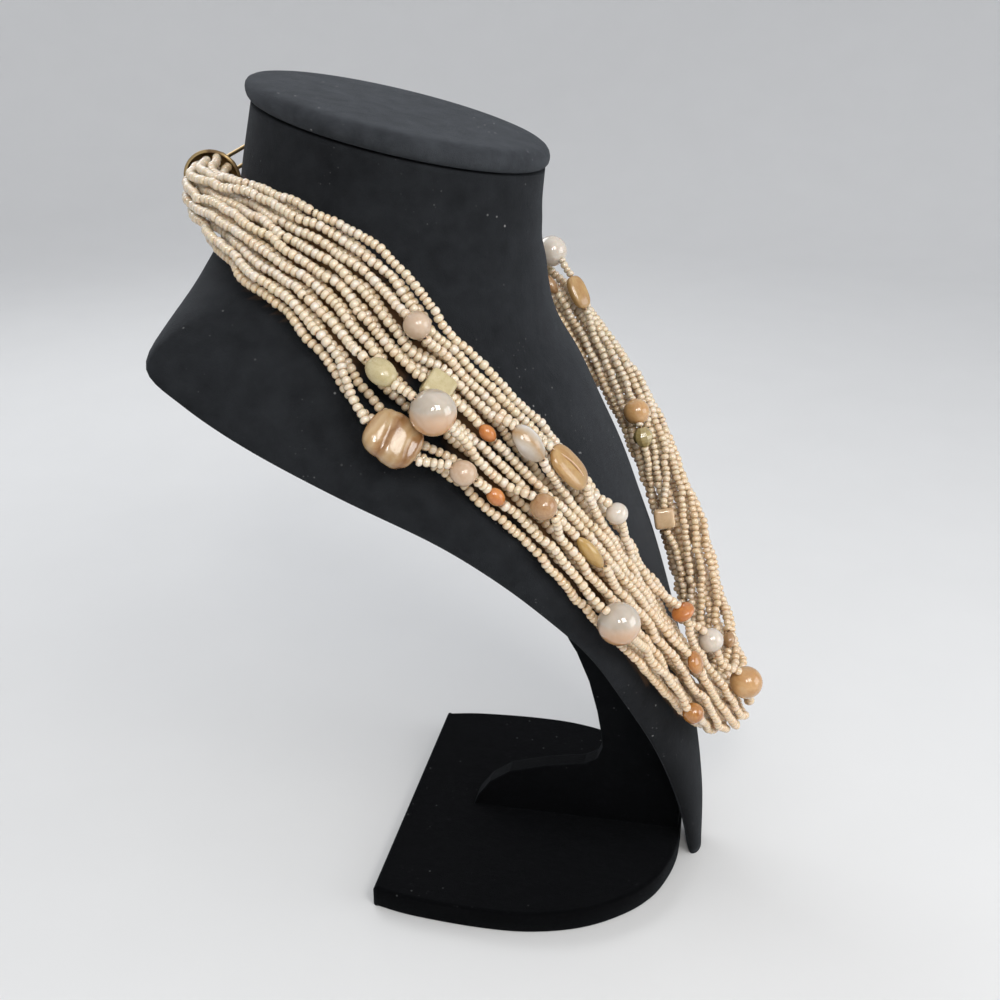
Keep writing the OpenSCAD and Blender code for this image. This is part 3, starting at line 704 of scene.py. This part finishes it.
class NECKLACE_OT_bust(bpy.types.Operator):
    """Makes the velvet form and the pad that closes its neck"""
    bl_idname = "necklace.bust"
    bl_label = "Velvet Bust"

    def execute(self, context):
        s = context.scene.bust
        black = velvet("velvet", s.velvet_dark, s.velvet_tip)
        # Painted light: the pad gets a copy of the velvet 2.2 to 2.5 times lighter, for the light on its top.
        pad_dark, pad_tip = tuple(c * 2.2 for c in s.velvet_dark), tuple(c * 2.5 for c in s.velvet_tip)
        lit_pad_velvet = velvet("pad_velvet", pad_dark, pad_tip)
        angles = np.arange(s.sides) * 360 / s.sides
        heights = TOP[HEIGHT] * (np.linspace(0, 1, s.steps) ** 0.9)
        points, faces = skin([on_form(angles, z) for z in heights])
        form = new_mesh("velvet_form", points, faces, {"glow": self.glow(angles, heights)}, materials=[black])
        finish_piece(form, "bust_form")
        points, faces = skin([self.pad_ring(angles, rise, grow) for rise, grow in PAD])
        pad = new_mesh("velvet_pad", points, faces, materials=[lit_pad_velvet])
        finish_piece(pad, "neck_pad")
        return {"FINISHED"}

    def pad_ring(self, angles, rise, grow):
        """The outline of the neck's top, grown and raised."""
        c, s = np.cos(np.radians(angles)), np.sin(np.radians(angles))
        depth = np.where(c > 0, TOP[FRONT], TOP[BACK]) + grow
        z = TOP[HEIGHT] + rise - TOP[LEAN] * depth * c
        return np.stack([(TOP[HALF] + grow) * s, TOP[MID] - depth * c, z], -1)

    def glow(self, angles, heights):
        """Light that comes through the beads warms the velvet where several strands lie over it."""
        lift, reach, stations = 6.0, 6.5, 420
        over = np.array([on_form(angles, z) + lift * form_normal(angles, z) for z in heights]).reshape(-1, 3)
        strands = np.zeros(len(over))
        for i in range(STRANDS):
            tree = KDTree(stations)
            for k, p in enumerate(strand_at(i, np.linspace(0, LAST, stations))):
                tree.insert(p, k)
            tree.balance()
            near = np.array([tree.find(p)[2] for p in over])
            strands += (reach + 0.5 - near).clip(0, 1)
        return np.concatenate([((strands - 4.5) / 1.5).clip(0, 1), [0, 0]])


class NECKLACE_OT_stand(bpy.types.Operator):
    """Covers the base plate and the upright board with velvet"""
    bl_idname = "necklace.stand"
    bl_label = "Velvet Stand"

    def execute(self, context):
        s = context.scene.bust
        # Painted shade: the stand gets a darker copy of the velvet, with less sheen and gloss, and less lint.
        black = velvet("stand_velvet", s.velvet_dark, s.velvet_tip, sheen=0.07, gloss=0.03, lint=0.2)
        finish_piece(self.plate(black), "base_plate")
        finish_piece(self.board(black), "upright_board")
        return {"FINISHED"}

    def outline(self):
        """Outline of the plate as a smooth curve through its rows, on both sides."""
        side = np.array([(w, PLATE_BACK - d) for d, w in PLATE], float)
        t = np.linspace(0, len(side) - 1, 73)
        k = np.clip(t.astype(int), 0, len(side) - 2)
        m = np.gradient(side, axis=0)
        half = ease(side[k], side[k + 1], m[k], m[k + 1], (t - k)[:, None])
        half = np.clip(half, [0, PLATE_FRONT], [PLATE_HALF, PLATE_BACK])
        return np.concatenate([half, (half * [-1, 1])[-2::-1]])

    def plate(self, velvet_black):
        """A flat plate with rounded rims."""
        outline = self.outline()
        middle = np.array([0, -10.0])
        d = unit(np.roll(outline, -1, 0) - np.roll(outline, 1, 0))
        inward = np.stack([-d[:, 1], d[:, 0]], -1)
        inward *= np.sign(((middle - outline) * inward).sum(-1, keepdims=True))
        n, rows = len(outline), len(PLATE_RIM)
        rings = [np.column_stack([outline + inward * inset, np.full(n, z)]) for z, inset in PLATE_RIM]
        faces = [tuple(f) for f in grid_faces(rows, n)]
        faces += [tuple(range(n))[::-1], tuple(range((rows - 1) * n, rows * n))]
        ob = new_mesh("velvet_plate", np.concatenate(rings), faces, materials=[velvet_black])
        flatten(ob)
        return ob

    def board(self, velvet_black):
        """The board of the frame with its corners rounded."""
        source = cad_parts["upright_board"]
        ob = bpy.data.objects.new("velvet_board", source.data.copy())
        bpy.context.scene.collection.objects.link(ob)
        ob.matrix_world = source.matrix_world
        ob.data.materials.clear()
        ob.data.materials.append(velvet_black)
        bm = bmesh.new()
        bm.from_mesh(ob.data)
        bmesh.ops.remove_doubles(bm, verts=bm.verts, dist=1e-6)
        bmesh.ops.dissolve_limit(bm, angle_limit=0.01, verts=bm.verts, edges=bm.edges)
        corners = [e for e in bm.edges if e.is_manifold and e.calc_face_angle() > 0.6]
        bmesh.ops.bevel(bm, geom=corners, offset=0.7 * MM, segments=3, profile=0.5, affect="EDGES",
                        clamp_overlap=True)
        bmesh.ops.triangulate(bm, faces=[f for f in bm.faces if len(f.verts) > 4])
        bm.to_mesh(ob.data)
        bm.free()
        return ob


# Seed beads

# One bead: place along its hole, radius, how near its end
SEED = np.array([(-0.5, 0.36, 1), (-0.47, 0.64, 0.75), (-0.29, 0.9, 0.2), (0, 1, 0), (0.29, 0.9, 0.2),
                 (0.47, 0.64, 0.75), (0.5, 0.36, 1)])
SEED_SIDES = 12
THREAD_SIDES, THREAD_RADIUS = 5, 0.28

# Slow sway of a strand off its route: wave length, size, and the round of a wave
SWAY = ((26, 0.46), (14.5, 0.3), (8.3, 0.14))
ROUND = 6.283


def free_stretches(i, u, run):
    """Starts and ends of the stretches of a strand that its larger beads and its caps leave free."""
    end_gap, bead_gap = 0.4, 0.15
    taken = []
    for seat in SEATS:
        if seat.bead.strand == i:
            mid, half = np.interp(seat.bead.place, u, run), seat.bead.length / 2
            taken.append((mid - half - bead_gap, mid + half + bead_gap))
    stops = [end_gap] + [x for pair in sorted(taken) for x in pair] + [run[-1] - end_gap]
    return zip(stops[::2], stops[1::2])


def seed_lengths(rng, stretches, step):
    """Middles and lengths of the seed beads that fill the stretches."""
    places, sizes = [], []
    for start, stop in stretches:
        count = max(1, round((stop - start) / step))
        long = rng.normal(1, 0.13, count).clip(0.7, 1.35)
        long *= (stop - start) / long.sum()
        places.append(start + np.cumsum(long) - long / 2)
        sizes.append(long)
    return np.concatenate(places), np.concatenate(sizes)


def at_length(run, path, at):
    """Points of a path at lengths along it."""
    return np.stack([np.interp(at, run, path[:, k]) for k in range(3)], -1)


def seed_points(rng, at, long, width, path, run):
    """Middles and points of the seed beads, each a little uneven and off the route."""
    n = len(at)
    p = at_length(run, path, at)
    t = unit(at_length(run, path, at + 0.6) - at_length(run, path, at - 0.6))
    t = unit(t + rng.normal(0, 0.07, (n, 3)))
    x = unit(np.cross(t, rng.normal(0, 1, (n, 3))))
    y = np.cross(t, x)
    wide = width * rng.normal(1, 0.045, n).clip(0.88, 1.025)
    sway = sum(size * np.sin(at[:, None] * ROUND / wave + rng.random(2) * ROUND) for wave, size in SWAY)
    across = unit(np.cross(t, [0.3, 0.2, 1.0]))
    p = p + sway[:, :1] * across + sway[:, 1:] * 0.6 * np.cross(t, across)
    p = p + rng.normal(0, 0.09, (n, 1)).clip(-0.18, 0.18) * x
    uneven = 1 + 0.03 * rng.normal(0, 1, (n, 1, SEED_SIDES)).clip(-1, 1)
    r = wide[:, None, None] / 2 * SEED[None, :, 1, None] * uneven
    z = long[:, None, None] * 0.99 * SEED[None, :, 0, None]
    a = ring(SEED_SIDES)
    points = (p[:, None, None] + z[..., None] * t[:, None, None]
              + (r * np.cos(a))[..., None] * x[:, None, None] + (r * np.sin(a))[..., None] * y[:, None, None])
    return p, points.reshape(-1, 3)


def tube(path, x, y, radius, sides):
    """Rings round a path whose two side directions are given."""
    a = ring(sides)
    side = np.cos(a)[None, :, None] * x[:, None] + np.sin(a)[None, :, None] * y[:, None]
    return path[:, None] + radius * side


def thread_rings(path):
    """The thread that runs through all the beads and on to the caps."""
    q = path[::8]
    t = unit(np.gradient(q, axis=0))
    x = unit(np.cross(t, [0, 0, 1.0]))
    return tube(q, x, np.cross(t, x), THREAD_RADIUS, THREAD_SIDES)


class NECKLACE_OT_seeds(bpy.types.Operator):
    """Strings every strand with seed beads on a thread"""
    bl_idname = "necklace.seeds"
    bl_label = "Seed Bead Strands"

    def execute(self, context):
        s = context.scene.necklace
        materials = [seed_glass("seed_beads", s), thread_fibre()]
        rng = np.random.default_rng(7)
        for i in range(STRANDS):
            ob = self.strand(i, rng, s.bead_width / MM, s.bead_pitch, materials)
            finish_piece(ob, "strand_%02d" % (i + 1))
        return {"FINISHED"}

    def strand(self, i, rng, width, pitch, materials):
        """One strand, with values on its points that tone its beads."""
        u = np.linspace(0, LAST, 2600)
        path = eased(strand_at(i, u), u)
        run = np.concatenate([[0], np.cumsum(np.linalg.norm(np.diff(path, axis=0), axis=1))])
        at, long = seed_lengths(rng, free_stretches(i, u, run), width * pitch)
        middles, beads = seed_points(rng, at, long, width, path, run)
        n, each = len(at), len(SEED) * SEED_SIDES
        faces = (np.arange(n)[:, None, None] * each + grid_faces(len(SEED), SEED_SIDES)[None]).reshape(-1, 4)
        tone = rng.random(n)
        streak = np.interp(at, np.linspace(0, run[-1], 24), rng.random(24))
        tilt = 0.35 + 0.5 * (i % 3 == 1) * 0.8
        hue = (streak * 0.6 + rng.random(n) * 0.4) * 0.7 + tilt * 0.3
        # Painted bounce light: stronger on the lower layer of strands, in slow streaks.
        deep = (0.75 - 0.55 * (i % 2)) * (0.5 + 0.5 * streak)
        low = ((190 - middles[:, 2]) / 80).clip(0, 1)
        layers = {k: np.repeat(v, each) for k, v in dict(tone=tone, hue=hue, deep=deep, low=low).items()}
        layers["end"] = np.tile(np.repeat(SEED[:, 2], SEED_SIDES), n)
        thread = thread_rings(path)
        faces = np.concatenate([faces, grid_faces(len(thread), THREAD_SIDES, n * each)])
        layers = {k: np.pad(v, (0, len(thread) * THREAD_SIDES)) for k, v in layers.items()}
        slots = np.zeros(len(faces), int)
        slots[-(len(thread) - 1) * THREAD_SIDES:] = 1
        points = np.concatenate([beads, thread.reshape(-1, 3)])
        return new_mesh("seed_strand_%02d" % (i + 1), points, faces, layers, slots, materials)


# Larger beads

def ball(rows=40, cols=56):
    """Unit ball as rings from one end of the thread hole to the other."""
    hole = 0.09
    th = np.linspace(math.asin(hole), math.pi - math.asin(hole), rows)
    a = ring(cols)
    p = np.stack([np.sin(th)[:, None] * np.cos(a), np.sin(th)[:, None] * np.sin(a),
                  -np.cos(th)[:, None] * np.ones(cols)], -1)
    return p, grid_faces(rows, cols)


def boxy(p, power):
    """A ball swelled toward its box, more with a higher power."""
    return 0.985 * p / (np.abs(p) ** power).sum(-1, keepdims=True) ** (1 / power)


def lumps(p, seed, size, amount):
    """A smooth uneven swell of the surface."""
    rng = np.random.default_rng(seed)
    k = rng.normal(0, size, (5, 3))
    ph = rng.random(5) * 6.28
    return 1 - amount * (0.5 + 0.5 * np.sin(p @ k.T + ph).mean(-1, keepdims=True) * 1.6).clip(0, 1)


def faceted(cols=10):
    """A cut bead with flat faces in rows."""
    rows = [(-1, 0.2), (-0.99, 0.44), (-0.52, 0.86), (-0.16, 1), (0.16, 1), (0.52, 0.86), (0.99, 0.44),
            (1, 0.2)]
    p = np.array([[(r * math.cos(t), r * math.sin(t), z) for t in ring(cols)] for z, r in rows])
    return p, grid_faces(len(rows), cols)


def shell(p):
    """A flat oval with grooves across it."""
    groove = (0.5 + 0.5 * np.cos(7.4 * p[..., 2:] + 1.6 * p[..., :1] + 2.2)) ** 6
    p = boxy(p, 3.2)
    p = p * lumps(p, 3, 1.1, 0.1) * (1 - 0.04 * groove)
    p[..., 1:2] *= 1 - 0.14 * groove
    return p


def bead_body(shape, k):
    """Points of a larger bead in its own directions, from -1 to 1, and its faces."""
    if shape == "faceted":
        return faceted()
    p, faces = ball()
    if shape == "spindle":
        rad = np.linalg.norm(p[..., :2], axis=-1, keepdims=True)
        p = np.concatenate([p[..., :2] * (0.82 + 0.18 * rad), p[..., 2:]], -1)
    elif shape == "block":
        p = boxy(p, 7)
    elif shape == "nugget":
        p = p * lumps(p, 40 + k, 1.6, 0.16)
    elif shape == "disc":
        p = boxy(p, 2.7) * lumps(p, 70 + k, 0.9, 0.04)
    elif shape == "shell":
        p = shell(p)
    else:
        p = p * lumps(p, 70 + k, 0.9, 0.02)
    return p, faces


class NECKLACE_OT_beads(bpy.types.Operator):
    """Makes the larger beads that are strung among the seed beads"""
    bl_idname = "necklace.beads"
    bl_label = "Larger Beads"

    def execute(self, context):
        for k, seat in enumerate(SEATS):
            bead = seat.bead
            mid, wide, up, axis = bead_seat(seat)
            body, faces = bead_body(bead.shape, k)
            flat = body.reshape(-1, 3)
            local = flat * (np.array([bead.width, bead.high, bead.length]) / 2)
            world = mid + local[:, :1] * wide + local[:, 1:2] * up + local[:, 2:] * axis
            # How low a point lies on its bead; it drives the painted shade on the lower side of most
            # finishes, and the peach of the milky glass.
            height = (world[:, 2] - world[:, 2].min()) / np.ptp(world[:, 2])
            banded_bead = bead.finish in ("banded_shell", "striped_stone")
            layers = {"spot": flat if banded_bead else flat + k * 3.7, "low": (1 - height / 0.62).clip(0, 1)}
            ob = new_mesh("fine_" + bead.node, world, faces, layers, materials=[bead_material(bead.finish)],
                          smooth=bead.shape != "faceted")
            finish_piece(ob, bead.node)
        return {"FINISHED"}


# Caps, clasp and stage

CAP_RADIUS, CAP_DEPTH, CAP_WALL, CAP_SIDES = 8.9, 7.0, 0.9, 96
WIRE, WIRE_SIDES, EYE_RADIUS, LINK_RADIUS = 1.4, 14, 2.6, 3.4


def cap_profile():
    """Outside and inside of a bell cap: radius, place along its axis."""
    r, rim, wall, depth = CAP_RADIUS, CAP_RADIUS + CAP_WALL, CAP_WALL, CAP_DEPTH
    return [(r, 0), (rim, 0), (rim, 0.6), (rim - 0.15, 1.2), (rim - 0.35, 1.4), (rim - 0.3, 1.9),
            (rim - 0.8, 3.2), (rim - 2.7, 5.2), (rim - 5.5, 6.8), (2.2, depth + wall - 0.05),
            (0.3, depth + wall + 0.5), (0.3, depth - wall), (1.8, depth - 0.6), (r - 5.4, 6.1 - wall),
            (r - 2.8, 4.5 - wall / 2), (r - 0.9, 2.7), (r, 1.2), (r, 0)]


def closed_wire(path, radius):
    """Rings of wire round a closed path, with the first ring again at the end."""
    t = unit(np.roll(path, -1, 0) - np.roll(path, 1, 0))
    ref = unit(np.cross(path[1] - path[0], path[len(path) // 3] - path[0]))
    x = unit(ref - (t @ ref)[:, None] * t)
    rings = tube(path, x, np.cross(t, x), radius, WIRE_SIDES)
    return np.concatenate([rings, rings[:1]])


class NECKLACE_OT_fastening(bpy.types.Operator):
    """Makes the bell caps with their eyes, and the clasp link behind the neck"""
    bl_idname = "necklace.fastening"
    bl_label = "Caps and Clasp"

    def execute(self, context):
        brass = antique_brass()
        near = self.cap(0.0, -1, "bell_cap_near", brass)
        far = self.cap(float(LAST), 1, "bell_cap_far", brass)
        self.link(near, far, brass)
        return {"FINISHED"}

    def cap(self, u, way, node, brass):
        """A cap at one end of the strands, and the middle of its eye with the direction across."""
        c, t, _, across = frame_of(u)
        axis, start = way * t, c - way * 1.5 * t
        x = np.cross(across, axis)
        a = ring(CAP_SIDES)
        rings = []
        for k, (radius, z) in enumerate(cap_profile()):
            flute = 1 - 0.035 * (0.5 + 0.5 * np.cos(12 * a)) * (5 <= k <= 8)
            side = (radius * flute * np.cos(a))[:, None] * x + (radius * flute * np.sin(a))[:, None] * across
            rings.append(start + z * axis + side)
        eye = start + (CAP_DEPTH + 1.2 + EYE_RADIUS) * axis
        loop = ring(40)[:, None]
        wire = closed_wire(eye + EYE_RADIUS * (np.cos(loop) * x + np.sin(loop) * axis), WIRE / 2)
        points = np.concatenate([np.array(rings).reshape(-1, 3), wire.reshape(-1, 3)])
        faces = np.concatenate([grid_faces(len(rings), CAP_SIDES),
                                grid_faces(len(wire), WIRE_SIDES, len(rings) * CAP_SIDES)])
        ob = new_mesh("fine_" + node, points, faces, materials=[brass])
        finish_piece(ob, node)
        return eye, across

    def link(self, near, far, brass):
        """A closed link of wire through both eyes."""
        (a, across_a), (b, across_b) = near, far
        d = unit(b - a)
        w = unit((across_a + across_b) - ((across_a + across_b) @ d) * d)
        reach = np.linalg.norm(b - a) / 2 + 0.5 - LINK_RADIUS
        th = np.linspace(0, math.pi, 24)
        arc = np.stack([reach + LINK_RADIUS * np.sin(th), LINK_RADIUS * np.cos(th)], -1)
        loop = np.concatenate([arc, -arc])
        wire = closed_wire((a + b) / 2 + loop[:, :1] * d + loop[:, 1:] * w, WIRE / 2 * 0.97)
        faces = grid_faces(len(wire), WIRE_SIDES)
        ob = new_mesh("fine_clasp_link", wire.reshape(-1, 3), faces, materials=[brass])
        finish_piece(ob, "clasp_link")


def direction(v):
    """Turn of a lamp or camera that looks along a vector."""
    return Vector(v).to_track_quat("-Z", "Y").to_euler()


# Soft lights: name, which strength it has, place, aim, size, colour
LIGHTS = (
    ("key", "key", (-0.55, -0.45, 0.75), (-0.03, -0.03, 0.17), (0.34, 0.34), (1, 0.985, 0.96)),
    ("window", "window", (-0.62, -0.12, 0.62), (-0.05, -0.02, 0.18), (0.11, 0.15), (1, 0.97, 0.92)),
    ("fill", "fill", (-0.05, -0.9, 0.35), (0, 0, 0.15), (0.6, 0.5), (0.96, 0.98, 1)),
    ("back", "fill", (0.5, 0.55, 0.7), (0, 0, 0.2), (0.6, 0.4), (0.96, 0.98, 1)),
)
FLOOR_HALF, FLOOR_ROWS, FLOOR_FLAT, FLOOR_CURVE = 2600.0, 90, 1050, 0.0008
CAMERA_PLACE, CAMERA_TURN, CAMERA_DIP = (-0.427212, -0.080477, 0.330179), 11.2, 23.4


class NECKLACE_OT_studio(bpy.types.Operator):
    """Sets the floor, the soft lights and the camera"""
    bl_idname = "necklace.studio"
    bl_label = "Studio"

    def execute(self, context):
        self.floor()
        self.lights(context.scene)
        self.camera(context.scene)
        context.scene.view_settings.view_transform = "Standard"
        return {"FINISHED"}

    def floor(self):
        """A pale floor that is flat near the stand and rises far from it."""
        n = FLOOR_ROWS
        g = np.linspace(-FLOOR_HALF, FLOOR_HALF, n)
        points = np.stack(np.meshgrid(g, g, [0.0], indexing="ij"), -1).reshape(-1, 3)
        points[:, 2] = FLOOR_CURVE * (np.hypot(points[:, 0], points[:, 1]) - FLOOR_FLAT).clip(0) ** 2
        i, j = np.meshgrid(np.arange(n - 1), np.arange(n - 1), indexing="ij")
        a = (i * n + j).ravel()
        faces = np.stack([a, a + n, a + n + 1, a + 1], -1)
        floor = new_mesh("studio_floor", points, faces, materials=[floor_finish()])

    def lights(self, scene):
        """The room and the lights round the object."""
        world = bpy.data.worlds.new("studio_room")
        scene.world = world
        world.use_nodes = True
        back = world.node_tree.nodes["Background"]
        back.inputs["Color"].default_value = (0.93, 0.95, 1.0, 1.0)
        back.inputs["Strength"].default_value = scene.studio.sky
        for name, strength, place, aim, size, colour in LIGHTS:
            light = bpy.data.lights.new(name, "AREA")
            light.shape, light.size, light.size_y = "RECTANGLE", *size
            light.energy, light.color = getattr(scene.studio, strength), colour
            lamp = bpy.data.objects.new(name, light)
            scene.collection.objects.link(lamp)
            lamp.location = place
            lamp.rotation_euler = direction(np.array(aim) - np.array(place))

    def camera(self, scene):
        """The camera of the photograph."""
        cam = bpy.data.cameras.new("camera")
        cam.lens, cam.sensor_width = 46.8, 36
        eye = bpy.data.objects.new("camera", cam)
        scene.collection.objects.link(eye)
        turn, dip = math.radians(CAMERA_TURN), math.radians(CAMERA_DIP)
        eye.location = CAMERA_PLACE
        eye.rotation_euler = direction(
            (math.cos(turn) * math.cos(dip), math.sin(turn) * math.cos(dip), -math.sin(dip)))
        scene.camera = eye


class NECKLACE_PT_panel(bpy.types.Panel):
    bl_idname = "NECKLACE_PT_panel"
    bl_label = "Beaded Necklace"
    bl_space_type = "VIEW_3D"
    bl_region_type = "UI"
    bl_category = "Necklace"

    def draw(self, context):
        for group, settings in (("Bust", context.scene.bust), ("Necklace", context.scene.necklace),
                                ("Studio", context.scene.studio)):
            box = self.layout.box()
            box.label(text=group)
            for key in settings.__annotations__:
                box.prop(settings, key)
        for op in STEPS:
            self.layout.operator(op.bl_idname)


STEPS = (NECKLACE_OT_bust, NECKLACE_OT_stand, NECKLACE_OT_seeds, NECKLACE_OT_beads, NECKLACE_OT_fastening,
         NECKLACE_OT_studio)
GROUPS = (BustSettings, NecklaceSettings, StudioSettings)


def register():
    for c in GROUPS + STEPS + (NECKLACE_PT_panel,):
        bpy.utils.register_class(c)
    bpy.types.Scene.bust = PointerProperty(type=BustSettings)
    bpy.types.Scene.necklace = PointerProperty(type=NecklaceSettings)
    bpy.types.Scene.studio = PointerProperty(type=StudioSettings)


def unregister():
    for key in ("bust", "necklace", "studio"):
        delattr(bpy.types.Scene, key)
    for c in reversed(GROUPS + STEPS + (NECKLACE_PT_panel,)):
        bpy.utils.unregister_class(c)


def main():
    register()
    for op in STEPS:
        group, name = op.bl_idname.split(".")
        getattr(getattr(bpy.ops, group), name)()


if __name__ == "__main__":
    main()
